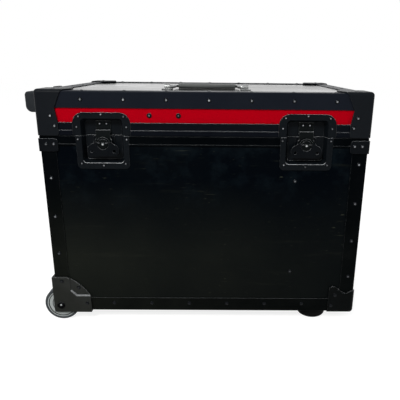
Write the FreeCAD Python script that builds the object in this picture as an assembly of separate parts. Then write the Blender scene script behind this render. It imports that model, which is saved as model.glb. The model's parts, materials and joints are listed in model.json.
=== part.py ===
import FreeCAD, Part
import math
import os

Vector = FreeCAD.Vector

# Wheeled flight case: plywood panels in riveted extrusions, hinged lid, two turn latches,
# two wheels on the left, two feet on the right and a pull-up handle on the left end.
# Lengths are in millimetres. The front faces -Y, the wheels are at -X and +Z is up.

# Case
case_width = 670.0            # left to right, over the extrusions
case_depth = 465.0            # front to back, over the extrusions
ground_clearance = 23.0       # floor to the underside of the base
base_height = 398.0           # underside of the base to the parting line
lid_height = 88.5             # lid rim to lid top
parting_gap = 0.5             # open line between the two rims
panel_thickness = 9.0
skin = 2.0                    # wall of the extrusions
edge_leg = 32.0               # leg of the edge extrusions
edge_round = 3.0              # outside corner of the edge extrusions
lid_edge_leg = 33.5           # upright leg of the top edge extrusions

# Rim extrusions
base_rim_height = 19.5        # outer flange of the base rim
lid_rim_height = 26.5         # outer flange of the lid rim
rim_web = 7.0                 # web between panel edge and parting line
rim_lip = 1.5                 # wall of the inner flange
rim_inner_height = 18.0       # inner flange, from the parting line
rim_bead = 0.8                # bead along the flange edges
rim_bead_height = 2.5
rim_ridge = 0.9               # raised band along the lid rim
rim_ridge_height = 10.5
tongue_width = 3.5
tongue_height = 4.0
tongue_draft = 0.5
tongue_clearance = 1.0
groove_extra_depth = 1.0
tongue_inset = 7.0            # outer face to the middle of the tongue

# Corner fittings
cover_wall = 3.0              # lid corner covers
cover_top_width = 52.0
cover_waist_width = 36.0
cover_foot_width = 41.0
cover_flap = 64.0             # reach of the cover over the lid top
cover_flap_near = 25.6        # straight sides of the flap
cover_round = 7.5
brace_wall = 2.5              # braces on the base, under the covers
brace_width = 37.0
brace_height = 26.5
brace_drop = 5.5              # parting line to the top of the brace
brace_round = 6.0
ball_wall = 3.0               # ball corners on the right
ball_edge = 57.0              # length along each case edge
ball_waist = 22.0             # width of the arms under the base
ball_lobe = (56.0, 65.0)      # lobe on the upright faces, from the case side and the underside
ball_lobe_round = 8.0
ball_shoulder = (43.0, 63.0)
ball_shoulder_round = 10.0
ball_dip = (19.5, 46.0)       # hollow between the lobe and the upright edge
ball_dip_round = 6.0
ball_round = 8.5              # outside edges of the ball corner

# Wheels
wheel_diameter = 77.0
wheel_width = 24.0
tyre_thickness = 6.0
wheel_round = 2.5             # shoulder of the tyre
wheel_dish = 4.0              # recess in the hub face
hub_rim_width = 2.2           # rim ring of the hub
hub_groove_width = 1.8        # groove inside the rim ring
hub_web_width = 7.0           # ring from the groove to the recess
hub_web_slope = 1.0
hub_web_depth = (1.6, 1.0)    # behind the hub face, at the recess and at the groove
hub_groove_depth = 3.2
hub_rim_depth = 0.4
hub_boss_radius = 11.0
axle_inset = 10.5             # case side to the axle
axle_radius = 5.0
axle_head_radius = 8.5
axle_head_height = 4.5
axle_head_side = 1.575        # straight side of the head
axle_head_ring = (6.8, 3.375) # ring between the side and the flat, its radius and height
axle_head_flat = 3.4          # radius of the flat
shank_clearance = 0.02        # axles and screws in their holes
bore_clearance = 0.05
wheel_play = 4.5              # tyre to the curved wall of the housing
wheel_side_play = 3.0
housing_wall = 2.5
plate_proud = 5.0             # housing face beyond the case face
plate_flange = 2.0            # sunk corner of the housing face
plate_width = 78.0            # from the case side
plate_height = 83.5           # from the underside of the base
plate_side = 38.0             # height of the plate at its right edge
plate_shoulder = 28.9         # case side to where the upper edge turns down
plate_shoulder_round = 20.0
plate_knee = (53.4, 69.8)     # bend of the slope, from the case side and the underside
plate_knee_round = 110.0
plate_return = 56.0           # housing along the left side and the underside
plate_return_round = 25.5
plate_post = 36.0             # raised band along the upright edge
plate_sill = 40.5             # raised band along the lower edge
plate_cant = 12.0             # cut across the inner corner of the raised bands
plate_bevel = 2.4             # bevel along the inner edge of the raised bands

# Feet
foot_inset_x = 86.0           # right side to the foot
foot_inset_y = 39.5           # front or back face to the foot
foot_radius = 33.5
foot_base_radius = 32.0
foot_round = 8.0
foot_screw_radius = 5.0       # head of the screw, twice its shank
foot_screw_rim = 2.0          # straight side of the head
foot_screw_head = 3.5
foot_screw_flat = 3.5         # radius of the flat on the head
foot_counterbore = 8.0
foot_floor = 12.0             # rubber left under the screw head

# Latches
latch_inset = 127.0           # case side to the middle of a latch
latch_lid_width = 116.0
latch_base_width = 107.0
latch_lid_reach = 46.5        # lid rim to the top of the flange
latch_base_reach = 68.0       # parting line to the foot of the flange
latch_top_round = 22.0
latch_foot_round = 9.0
latch_face = 0.2              # flange face behind the case face
dish_wall = 1.5
dish_depth = 17.0             # case face to the dish floor
dish_mouth = 85.0
dish_edge_round = 1.4         # rounded edge of the mouth
dish_floor_width = 74.0
dish_top = 35.0               # parting line to the upper edge of the mouth
dish_foot = 55.7              # parting line to the lower edge of the mouth
dish_slope = 5.2              # run of the upper and lower walls
dish_round = 8.0
dish_cut_play = 0.5
hub_drop = 17.0               # parting line to the hub
hub_cap_radius = 14.0
hub_cap_depth = 3.7           # case face to the front of the cap
hub_cap_wall = 1.7
hub_boss = 10.0
hub_boss_proud = 0.6          # button on the boss, beyond the case face
hub_button = 3.0
hub_button_round = 0.3
hub_button_foot = 0.1         # case face to the foot of the button
hub_crown = (6.0, 0.2)        # ring on the boss, its radius and its depth behind the case face
hub_boss_edge = 1.0           # case face to the edge of the boss
hub_boss_round = 1.5
hub_shaft_radius = 4.0
hub_shaft_clearance = 0.05
cam_radius = 8.0
cam_offset = 4.5              # half of the hook's lift
cam_wall = 7.0
cam_slot_play = 1.1           # above and below the cam
cam_slot_flat = 1.0           # straight part of each slot end, up and down from its middle
hook_wall = 2.5
hook_width = 29.0
hook_yoke = 34.0              # width around the cam slot
hook_yoke_wall = 3.5
hook_yoke_round = 4.0
hook_neck = 3.0               # slant from the yoke to the hook
hook_top = 11.0               # parting line to the top of the hook
hook_nose = 3.0
hook_nose_height = 3.7
hook_gap = 0.3
keeper_wall = 2.0
keeper_width = 30.6
keeper_top = 29.0             # parting line to the top of the keeper
keeper_lip = 3.2
keeper_lip_height = 3.5
latch_plate_width = 44.0
latch_plate_height = 40.0
latch_plate_round = 4.0
latch_plate_gap = 1.0         # parting line to the plate, at the least
wing_wall = 2.2
wing_depth = 0.5              # case face to the front of the wing
wing_shoulder = 18.3          # half widths of the wing
wing_lobe = 31.5
wing_foot = 25.0
wing_lobe_drop = 4.5          # hub centre down to the widest part
wing_waist_drop = 18.0
wing_foot_drop = 25.0
wing_lobe_round = 9.0
wing_foot_round = 5.0
wing_hole_radius = 3.3
wing_hole_offset = 22.8
wing_hole_drop = 14.5
wing_barrel_radius = 1.9
wing_axis_rise = 2.7          # hub centre to the fold axis
wing_notch_play = 1.0
wing_pin_radius = 1.2
wing_pin_clearance = 0.05

# Hinges
hinge_inset = 140.0           # case side to the middle of a hinge
hinge_width = 72.0
hinge_wall = 2.0
hinge_land_play = 1.0         # flat of the rims beside a leaf
hinge_axis_out = 4.5          # back face to the pin
hinge_knuckle_radius = 3.6
hinge_pin_radius = 1.8
hinge_pin_clearance = 0.05
hinge_knuckles = 5
hinge_knuckle_gap = 0.3
hinge_base_leaf = 45.0
hinge_lid_leaf = 50.0
hinge_joggle = 2.0            # overlap where a leaf steps over the rim edge
lid_opening = 100.0           # degrees, where the lid meets the stops
hinge_stop_near = 9.5         # stop, measured out from the pin
hinge_stop_far = 17.0
hinge_stop_width = 26.0
hinge_stop_gap = 0.15

# Pull-up handle
tube_inset = 102.5            # case face to the middle of a tube
tube_standoff = 4.0           # case side to the outer tube
outer_tube = (20.0, 26.0)
tube_wall = 1.4
tube_play = 0.3
tube_round = 4.0
tube_round_ease = 1.0         # corners of each stage, fuller than the plain offset
stage_foot_gap = 1.0          # foot of each stage above the one around it
outer_tube_foot = 28.0        # underside of the base to the tube end
outer_tube_top = 24.0         # parting line down to the tube top
stage_step = 12.0             # each stage stands this far above the one around it
clamp_wall = 3.0
clamp_height = 24.0
clamp_ear = 16.0
clamp_inset = 18.0            # tube end to the clamp
clamp_play = 0.1
collar_wall = 2.2
collar_height = 10.0
collar_lip = 2.0              # collar above the tube
plug_height = 8.0
plug_cap = 2.0
plug_play = 0.01
grip_reach = 44.0             # case side to the outside of the grip
grip_gap = 6.0                # case side to the inside of the grip
grip_height = 43.0
grip_top_drop = 5.8           # lid top to the grip top
grip_setback = 55.0           # case face to the end of the grip
grip_bar = 18.0               # bar outside the finger space
grip_finger_inset = 35.0      # middle of a tube to the finger space
grip_socket = 24.0
grip_inner_round = 5.0        # corners of the grip section
grip_top_round = 8.0
grip_low_round = 13.0
grip_end_round = 4.0
finger_round = 9.0            # corners of the finger space
button_length = 42.0
button_width = 10.0
button_height = 12.0
button_proud = 2.5
button_play = 0.4
button_travel = 4.0
button_foot_gap = 1.0         # under the pressed button
button_offset = 0.5           # middle of the bar to the button
button_flat = 0.1             # straight part of the button ends, out from the middle

# Carrying handle on the lid
handle_setback = 122.0        # front face to the handle pivot
handle_span = 72.0            # half distance between the bail arms
handle_wire = 3.2
handle_bend = 8.0
handle_arm = 42.0             # pivot to the middle of the grip
handle_rise = 5.6             # lid panel to the wire
handle_play = 0.1
handle_stub = 20.0            # arm to the end of the pivot
bracket_width = 22.0
bracket_length = 44.0
bracket_wall = 2.0
bracket_round = 5.0
bracket_loop = 12.0
bracket_loop_wall = 2.0
bracket_outset = 15.0         # arm to the middle of the bracket
handle_grip_inset = 7.0       # bail arms to the ends of the grip
handle_grip_width = 22.0
handle_grip_height = 10.4
handle_grip_round = 4.68

# Recessed handle on the right end
side_flange_leg = 14.0        # dish mouth to the outside of the flange
side_handle_rise = 218.0      # underside of the base to the middle of the handle
side_mouth_height = 80.0
side_mouth_play = 1.0         # end of a pivot hole to the mouth of the dish
side_slope = 4.0              # mouth of the dish to its floor
side_depth = 16.0
side_round = 10.0
side_wire = 3.5
side_wire_depth = 8.0         # case face to the pivot
side_axis_rise = 26.0         # handle middle to the pivot
side_arm = 48.0
side_span = 47.0
side_bend = 6.0
side_stub = 13.0
side_stub_play = 0.5          # end of the pivot to the end of its hole
side_lug_wall = 2.6
side_lug_length = 6.5
side_grip_radius = 7.0
side_grip_inset = 10.0        # bail arms to the ends of the grip

# Inside
divider_inset = 146.5         # right side to the rivets of the divider cleats
divider_thickness = 6.0
divider_drop = 60.0           # panel top to the top of the divider
divider_cleat = 20.0          # leg of the cleats
divider_cleat_wall = 1.5
foam_thickness = 15.0
foam_play = 0.4

# Rivets
rivet_radius = 4.4
rivet_height = 1.7
small_rivet_radius = 3.2
small_rivet_height = 1.3
rivet_pitch = 85.0
front_row_shift = 8.5                           # front row of the lid, right of the middle
washer_radius = 5.0
washer_wall = 1.0
washer_places = (96.6, 155.1)                   # from the middle of the left latch
washer_drop = 47.5                              # lid top to the washers
low_row_rise = 19.0                             # underside to the rivets of the bottom edges
cover_rivets = ((27.5, 49.0), (34.5, 69.0))     # from the case side and down from the lid top
cover_top_rivet = 27.5                          # on top of the cover, from both case sides
brace_rivets = (13.5, 29.0)                     # from the case side
brace_rivet_rise = 15.3                         # foot of the brace to its rivets
post_rivet = (17.0, 9.2)                        # wheel plate, from the case side and its top
lobe_rivet = (52.3, 25.6)
sill_rivet = (69.5, 20.5)                       # from the case side and the underside
ball_rivets = ((49.4, 16.0), (42.0, 42.5))      # from the case side and the underside
divider_low_rivet = 88.0                        # up from the floor panel
divider_top_rivet = 25.0                        # down from the top of the divider
latch_side_rivet = 8.0                          # flange edge of the lid half to a rivet
latch_side_rivet_rise = 17.5
latch_foot_side_rivet = 4.0                     # flange edge of the base half to a rivet
latch_foot_side_rivet_drop = 7.0
latch_corner_rivet = (13.0, 8.0)                # in from the flange corner of the lid half
latch_foot_corner_rivet = (8.5, 11.0)
latch_edge_rivet = 3.9                          # flange edge to the middle rivet of the lid half
latch_foot_edge_rivet = 7.0
keeper_rivet_spread = 7.0
keeper_rivet_drop = 6.0                         # top of the keeper to its rivets
leaf_rivet = (10.0, 8.0)                        # in from the leaf corner
frame_rivets = (67.0, 40.0)                     # from the middle of the end handle
bracket_rivet = 15.0                            # handle pivot to a bracket rivet

# Modelling aids
cut_over = 1.0                # cuts run this far past the faces they open
tolerance = 0.01              # for finding edges by their place

half_w = case_width / 2
half_d = case_depth / 2
latch_offset = half_w - latch_inset
hinge_offset = half_w - hinge_inset
tube_offset = half_d - tube_inset
base_bottom = ground_clearance
parting = base_bottom + base_height
lid_bottom = parting + parting_gap
top = lid_bottom + lid_height
inner = skin + panel_thickness
floor_level = base_bottom + inner
ceiling_level = top - inner
base_panel_top = parting - rim_web
lid_panel_bottom = lid_bottom + rim_web
base_rim_bottom = parting - base_rim_height
lid_rim_top = lid_bottom + lid_rim_height


# Shape helpers
def spot(plane, u, v, w):
    if plane == "xy":
        return Vector(u, v, w)
    if plane == "xz":
        return Vector(u, w, v)
    return Vector(w, u, v)


def outline(plane, corners, level):
    """Closed wire through corners (u, v) or (u, v, radius), with the given corner radii."""
    points = [Vector(c[0], c[1], 0) for c in corners]
    radii = [c[2] if len(c) > 2 else 0.0 for c in corners]
    turns = []
    for i, corner in enumerate(points):
        before = (points[i - 1] - corner).normalize()
        after = (points[(i + 1) % len(points)] - corner).normalize()
        if radii[i] == 0:
            turns.append((corner, None, corner))
            continue
        half = math.acos(max(-1.0, min(1.0, before.dot(after)))) / 2
        run = radii[i] / math.tan(half)
        middle = (before + after).normalize()
        centre = corner + middle * (radii[i] / math.sin(half))
        turns.append((corner + before * run, centre - middle * radii[i], corner + after * run))
    edges = []
    for i, (start, mid, end) in enumerate(turns):
        start, end = (spot(plane, p.x, p.y, level) for p in (start, end))
        if mid is not None:
            edges.append(Part.Arc(start, spot(plane, mid.x, mid.y, level), end).toShape())
        following = turns[(i + 1) % len(turns)][0]
        following = spot(plane, following.x, following.y, level)
        if end.distanceToPoint(following) > 1e-6:
            edges.append(Part.makeLine(end, following))
    return Part.Wire(edges)


def prism(plane, corners, low, high):
    return Part.Face(outline(plane, corners, low)).extrude(spot(plane, 0, 0, high - low))


def rectangle(width, low, high, radius=0.0):
    return [(-width / 2, low, radius), (width / 2, low, radius),
            (width / 2, high, radius), (-width / 2, high, radius)]


def block(x, y, z):
    return Part.makeBox(x[1] - x[0], y[1] - y[0], z[1] - z[0], Vector(x[0], y[0], z[0]))


def rod(radius, start, end):
    return Part.makeCylinder(radius, start.distanceToPoint(end), start, end - start)


def turned(profile, axis):
    """Solid turned about the Y or Z axis, from corners (radius, height) or (radius, height, round)."""
    plane = "xy" if axis.y > 0.5 else "xz"
    return Part.Face(outline(plane, profile, 0)).revolve(Vector(), axis, 360)


def fused(pieces):
    return pieces[0].multiFuse(pieces[1:]).removeSplitter()


def tapered(near, far, near_level, far_level):
    """Solid between two outlines at two depths behind the case face."""
    wires = [outline("xz", near, near_level), outline("xz", far, far_level)]
    return Part.makeLoft(wires, True, True)


def shifted(shape, x=0.0, y=0.0, z=0.0):
    copy = shape.copy()
    copy.translate(Vector(x, y, z))
    return copy


def mirror_x(shape):
    return shape.mirror(Vector(), Vector(1, 0, 0))


def mirror_y(shape):
    return shape.mirror(Vector(), Vector(0, 1, 0))


def left_and_right(shape):
    return [shape, mirror_x(shape)]


def front_and_back(shape):
    return [shape, mirror_y(shape)]


def four_corners(shape):
    return [copy for end in left_and_right(shape) for copy in front_and_back(end)]


def placed(shape, side):
    """Puts a shape drawn on a face at y = 0, looking to -Y, on one side of the case."""
    turn = {"front": 0, "right": 90, "back": 180, "left": -90}[side]
    seat = {"front": Vector(0, -half_d, 0), "right": Vector(half_w, 0, 0),
            "back": Vector(0, half_d, 0), "left": Vector(-half_w, 0, 0)}[side]
    copy = shape.copy()
    copy.rotate(Vector(), Vector(0, 0, 1), turn)
    copy.translate(seat)
    return copy


def side_length(side):
    return case_width if side in ("front", "back") else case_depth


def mitred(profile, side):
    """Length of extrusion for one side, cut at 45 degrees at both ends."""
    half = side_length(side) / 2
    run = 2 * edge_leg
    bar = prism("yz", profile, -half - run, half + run)
    plan = [(-half - run, -run), (half + run, -run), (half - run, run), (-half + run, run)]
    box = bar.BoundBox
    return placed(bar.common(prism("xy", plan, box.ZMin - cut_over, box.ZMax + cut_over)), side)


def wire_bail(points, bend, radius):
    """Round bar bent through the points, with one bend radius."""
    edges = []
    last = points[0]
    for before, corner, after in zip(points, points[1:], points[2:]):
        back = (before - corner).normalize()
        ahead = (after - corner).normalize()
        start = corner + back * bend
        end = corner + ahead * bend
        middle = (back + ahead).normalize()
        crest = corner + middle * bend * (math.sqrt(2) - 1)
        edges.append(Part.makeLine(last, start))
        edges.append(Part.Arc(start, crest, end).toShape())
        last = end
    edges.append(Part.makeLine(last, points[-1]))
    section = Part.Wire(Part.makeCircle(radius, points[0], points[1] - points[0]))
    return Part.Wire(edges).makePipeShell([section], True, False)


sides = ("front", "right", "back", "left")
nodes = {}


def keep(name, *shapes):
    """Files one node as a solid, or as a group of separate solids."""
    nodes[name] = shapes[0] if len(shapes) == 1 else Part.makeCompound(list(shapes))


# Rim extrusions: the base is grooved and the lid is tongued
groove = tongue_width / 2 + tongue_clearance
groove_floor = parting - tongue_height - groove_extra_depth
base_rim_profile = [
    (skin, base_rim_bottom), (-rim_bead, base_rim_bottom),
    (-rim_bead, base_rim_bottom + rim_bead_height),
    (0, base_rim_bottom + rim_bead_height + rim_bead), (0, parting - rim_bead),
    (rim_bead, parting), (tongue_inset - groove, parting),
    (tongue_inset - groove, groove_floor), (tongue_inset + groove, groove_floor),
    (tongue_inset + groove, parting), (inner + rim_lip, parting),
    (inner + rim_lip, parting - rim_inner_height), (inner, parting - rim_inner_height),
    (inner, base_panel_top), (skin, base_panel_top)]
tongue = tongue_width / 2
tongue_tip = lid_bottom - tongue_height
ridge_top = lid_bottom + rim_ridge_height
lid_rim_profile = [
    (-rim_ridge, lid_bottom + rim_bead), (-rim_ridge + rim_bead, lid_bottom),
    (tongue_inset - tongue, lid_bottom), (tongue_inset - tongue + tongue_draft, tongue_tip),
    (tongue_inset + tongue - tongue_draft, tongue_tip), (tongue_inset + tongue, lid_bottom),
    (inner + rim_lip, lid_bottom), (inner + rim_lip, lid_bottom + rim_inner_height),
    (inner, lid_bottom + rim_inner_height), (inner, lid_panel_bottom),
    (skin, lid_panel_bottom), (skin, lid_rim_top), (-rim_bead, lid_rim_top),
    (-rim_bead, lid_rim_top - rim_bead_height), (0, lid_rim_top - rim_bead_height - rim_bead),
    (0, ridge_top + rim_ridge), (-rim_ridge, ridge_top)]
base_rim = {side: mitred(base_rim_profile, side) for side in sides}
lid_rim = {side: mitred(lid_rim_profile, side) for side in sides}

# The front rims stop at the latch flanges, and the back rims are planed flat under the hinges
rim_reach = (-half_d - edge_leg, -half_d + inner + 2 * edge_leg)
for rims, width in ((base_rim, latch_base_width), (lid_rim, latch_lid_width)):
    gap_half = width / 2 + dish_cut_play
    for centre in (-latch_offset, latch_offset):
        gap = block((centre - gap_half, centre + gap_half), rim_reach, (base_bottom, top))
        rims["front"] = rims["front"].cut(gap)
hinge_land = hinge_width / 2 + hinge_land_play
for centre in (-hinge_offset, hinge_offset):
    land = block((centre - hinge_land, centre + hinge_land), (half_d, half_d + edge_leg), (base_bottom, top))
    base_rim["back"] = base_rim["back"].cut(land)
    lid_rim["back"] = lid_rim["back"].cut(land)
base_rim_solids = [solid for side in sides for solid in base_rim[side].Solids]
lid_rim_solids = [solid for side in sides for solid in lid_rim[side].Solids]
keep("base_rim_extrusions", *base_rim_solids)
keep("lid_rim_extrusions", *lid_rim_solids)

# Edge extrusions
top_edge_profile = [
    (0, top - lid_edge_leg), (0, top, edge_round), (edge_leg, top), (edge_leg, top - skin),
    (skin, top - skin), (skin, top - lid_edge_leg)]
bottom_edge_profile = [
    (0, base_bottom + edge_leg), (skin, base_bottom + edge_leg), (skin, base_bottom + skin),
    (edge_leg, base_bottom + skin), (edge_leg, base_bottom), (0, base_bottom, edge_round)]


def corner_angle(low, high):
    """Upright edge extrusion for the front left corner."""
    plan = [
        (-half_w, -half_d, edge_round), (-half_w + edge_leg, -half_d),
        (-half_w + edge_leg, -half_d + skin), (-half_w + skin, -half_d + skin),
        (-half_w + skin, -half_d + edge_leg), (-half_w, -half_d + edge_leg)]
    return prism("xy", plan, low, high)


top_edges = [mitred(top_edge_profile, side) for side in sides]
lid_posts = four_corners(corner_angle(lid_rim_top, top - lid_edge_leg))
keep("lid_edge_extrusions", *(top_edges + lid_posts))
plate_top = base_bottom + plate_height
wheel_posts = front_and_back(corner_angle(plate_top, base_rim_bottom))
plain_posts = front_and_back(mirror_x(corner_angle(base_bottom + edge_leg, base_rim_bottom)))

# The bottom edge extrusions stop at the wheel housings
plate_right = -half_w + plate_width
wheel_corner = block((-case_width, plate_right), (-case_depth, -half_d + plate_return), (0, plate_top))
bottom_edges = [mitred(bottom_edge_profile, side) for side in sides]
bottom_edges = [edge.cut(wheel_corner).cut(mirror_y(wheel_corner)) for edge in bottom_edges]
keep("base_edge_extrusions", *(bottom_edges + wheel_posts + plain_posts))

# Wheel housing at the front left corner: a face plate with raised bands, returns along the
# side and the underside, and a round well that closes the corner off from the inside
wheel_radius = wheel_diameter / 2
axle_x = -half_w + axle_inset
axle_z = wheel_radius
well_reach = wheel_radius + wheel_play
well_near = plate_proud - housing_wall
well_far = wheel_width + 2 * wheel_side_play - well_near


def well_profile(radius):
    edge_x = axle_x + radius
    edge_z = axle_z + radius
    low = -case_width
    return [(low, low), (edge_x, low), (edge_x, edge_z, radius), (low, edge_z)]


plate_left = -half_w - plate_proud
plate_bottom = base_bottom - plate_flange
plate_outline = [
    (plate_left, plate_bottom), (plate_right, plate_bottom), (plate_right, base_bottom + plate_side),
    (-half_w + plate_knee[0], base_bottom + plate_knee[1], plate_knee_round),
    (-half_w + plate_shoulder, plate_top, plate_shoulder_round), (plate_left, plate_top)]
band_x = -half_w + plate_post
band_z = base_bottom + plate_sill
raised_outline = [
    (plate_left, plate_bottom), (plate_right, plate_bottom), (plate_right, band_z),
    (band_x + plate_cant, band_z), (band_x, band_z + plate_cant), (band_x, plate_top),
    (plate_left, plate_top)]
face = prism("xz", plate_outline, -half_d - plate_flange, -half_d)
bands = prism("xz", raised_outline, -half_d - plate_proud, -half_d - plate_flange)
bands = bands.common(prism("xz", plate_outline, -half_d - plate_proud, -half_d))
inner_edges = [
    edge for edge in bands.Edges
    if edge.BoundBox.YMax < -half_d - plate_proud + tolerance
    and edge.CenterOfMass.x > band_x - tolerance and edge.CenterOfMass.z > band_z - tolerance]
bands = bands.makeChamfer(plate_bevel, inner_edges)
return_y = -half_d + plate_return
return_outline = [
    (-half_d - plate_flange, plate_bottom), (return_y, plate_bottom),
    (return_y, plate_top, plate_return_round), (-half_d - plate_flange, plate_top)]
side_return = prism("yz", return_outline, plate_left, -half_w)
sole = block((plate_left, plate_right), (-half_d - plate_flange, return_y), (plate_bottom, base_bottom))
well = prism("xz", well_profile(well_reach + housing_wall), -half_d, -half_d + well_far + housing_wall)
well = well.common(block((-half_w, half_w), (-half_d, half_d), (base_bottom, top)))
cavity = prism("xz", well_profile(well_reach), -half_d - well_near, -half_d + well_far)
axle_hole = rod(axle_radius, Vector(axle_x, -half_d - case_depth, axle_z), Vector(axle_x, half_d, axle_z))
housing = fused([face, bands, side_return, sole, well]).cut(cavity).cut(axle_hole)
keep("wheel_housings", *front_and_back(housing))

# Room for the housing in the panels
well_room = prism("xz", well_profile(well_reach + housing_wall), -half_d - edge_leg,
                  -half_d + well_far + housing_wall)
well_rooms = front_and_back(well_room)

# Axle with a domed head, closed flush on the inside of the well
axle_end = well_far + housing_wall
shank = axle_radius - shank_clearance
axle_top = -plate_proud - axle_head_height
axle_profile = [
    (0, axle_end), (shank, axle_end), (shank, -plate_proud), (axle_head_radius, -plate_proud),
    (axle_head_radius, -plate_proud - axle_head_side), (axle_head_ring[0], -plate_proud - axle_head_ring[1]),
    (axle_head_flat, axle_top), (0, axle_top)]
axle = shifted(turned(axle_profile, Vector(0, 1, 0)), axle_x, -half_d, axle_z)
keep("wheel_axles", *front_and_back(axle))

# Wheel: tyre on a dished hub with a plain bore
wheel_start = wheel_side_play - well_near
wheel_end = wheel_start + wheel_width
tyre_seat = wheel_radius - tyre_thickness
chamfer = 0.3 * wheel_round
tyre_profile = [
    (tyre_seat, wheel_start), (wheel_radius - wheel_round, wheel_start),
    (wheel_radius - chamfer, wheel_start + chamfer), (wheel_radius, wheel_start + wheel_round),
    (wheel_radius, wheel_end - wheel_round), (wheel_radius - chamfer, wheel_end - chamfer),
    (wheel_radius - wheel_round, wheel_end), (tyre_seat, wheel_end)]
bore_radius = axle_radius + bore_clearance
rim_radius = tyre_seat - hub_rim_width
groove_radius = rim_radius - hub_groove_width
web_radius = groove_radius - hub_web_width
hub_face = [
    (bore_radius, 0), (hub_boss_radius, 0), (hub_boss_radius, wheel_dish),
    (web_radius - hub_web_slope, wheel_dish), (web_radius, hub_web_depth[0]),
    (groove_radius, hub_web_depth[1]), (groove_radius, hub_groove_depth), (rim_radius, hub_groove_depth),
    (rim_radius, hub_rim_depth), (tyre_seat, hub_rim_depth)]
hub_profile = [(r, wheel_start + depth) for r, depth in hub_face]
hub_profile += [(r, wheel_end - depth) for r, depth in reversed(hub_face)]
for name, profile in (("tyre", tyre_profile), ("hub", hub_profile)):
    piece = shifted(turned(profile, Vector(0, 1, 0)), axle_x, -half_d, axle_z)
    keep("wheel_front_" + name, piece)
    keep("wheel_back_" + name, mirror_y(piece))

# Corner covers on the lid
t = cover_wall
cover_edge = [
    (-t, top + t), (-t, lid_bottom), (cover_foot_width, lid_bottom, brace_round),
    (cover_foot_width, lid_rim_top), (cover_waist_width, top - lid_edge_leg), (cover_top_width, top + t)]
cover_plan = [
    (-t, -t), (cover_top_width, -t), (cover_flap, cover_flap_near), (cover_flap, cover_flap, cover_flap_near),
    (cover_flap_near, cover_flap), (-t, cover_top_width)]
cover = fused([
    prism("xz", cover_edge, -t, 0), prism("yz", cover_edge, -t, 0), prism("xy", cover_plan, top, top + t)])
crease = [
    edge for edge in cover.Edges
    if edge.Length > edge_leg and sum((
        abs(edge.BoundBox.XMax + t) < tolerance, abs(edge.BoundBox.YMax + t) < tolerance,
        abs(edge.BoundBox.ZMin - top - t) < tolerance)) == 2]
cover = cover.makeFillet(cover_round, crease)
cover = shifted(cover, -half_w, -half_d).cut(Part.makeCompound(lid_rim_solids))
keep("lid_corner_covers", *four_corners(cover))

# Braces on the base under the covers
t = brace_wall
brace_top = parting - brace_drop
brace_edge = [
    (-t, brace_top), (-t, brace_top - brace_height),
    (brace_width, brace_top - brace_height, brace_round), (brace_width, brace_top, brace_round)]
brace = fused([prism("xz", brace_edge, -t, 0), prism("yz", brace_edge, -t, 0)])
crease = [
    edge for edge in brace.Edges
    if edge.BoundBox.XMax < -t + tolerance and edge.BoundBox.YMax < -t + tolerance]
brace = brace.makeFillet(edge_round, crease)
brace = shifted(brace, -half_w, -half_d).cut(Part.makeCompound(base_rim_solids))
keep("base_corner_braces", *four_corners(brace))

# Ball corners: a plate on each face meeting in a rounded corner, with a lobe on the two upright faces
t = ball_wall
sole_arm = [
    (-t, -t), (ball_edge, -t), (ball_edge - t, ball_waist), (ball_waist, ball_edge - t), (-t, ball_edge)]
face_arm = [
    (-t, -t), (ball_lobe[0], -t), ball_lobe + (ball_lobe_round,), ball_shoulder + (ball_shoulder_round,),
    ball_dip + (ball_dip_round,), (-t, ball_edge)]
ball_span = (-t, 2 * ball_edge)
corner_shell = block(ball_span, ball_span, ball_span)
crease = [
    edge for edge in corner_shell.Edges
    if sum((edge.BoundBox.XMax < 0, edge.BoundBox.YMax < 0, edge.BoundBox.ZMax < 0)) == 2]
corner_shell = corner_shell.makeFillet(ball_round, crease)
case_span = (0, 3 * ball_edge)
corner_shell = corner_shell.cut(block(case_span, case_span, case_span))
ball = fused([prism("xy", sole_arm, -t, 0), prism("xz", face_arm, -t, 0), prism("yz", face_arm, -t, 0)])
ball = ball.common(corner_shell)
ball = mirror_x(shifted(ball, -half_w, -half_d, base_bottom))
keep("ball_corners", *front_and_back(ball))

# Rubber feet, seated on the bottom panel and the edge extrusion
foot_x = half_w - foot_inset_x
foot_y = -half_d + foot_inset_y
foot_seat = base_bottom + skin
foot_profile = [
    (0, 0), (foot_base_radius, 0, foot_round), (foot_radius, foot_seat), (0, foot_seat)]
foot = turned(foot_profile, Vector(0, 0, 1))
foot = foot.cut(rod(foot_counterbore, Vector(0, 0, 0), Vector(0, 0, foot_floor)))
foot = foot.cut(rod(foot_screw_radius / 2, Vector(), Vector(0, 0, foot_seat)))
foot = shifted(foot, foot_x, foot_y).cut(Part.makeCompound(bottom_edges))
keep("rubber_feet", *front_and_back(foot))
screw_top = foot_seat + panel_thickness
screw_foot = foot_floor - foot_screw_rim
screw = rod(foot_screw_radius / 2 - shank_clearance, Vector(0, 0, screw_foot), Vector(0, 0, screw_top))
screw_head = [
    (0, foot_floor), (foot_screw_radius, foot_floor), (foot_screw_radius, screw_foot),
    (foot_screw_flat, foot_floor - foot_screw_head), (0, foot_floor - foot_screw_head)]
screw = fused([screw, turned(screw_head, Vector(0, 0, 1))])
foot_screw = shifted(screw, foot_x, foot_y)
keep("foot_screws", *front_and_back(foot_screw))

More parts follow.
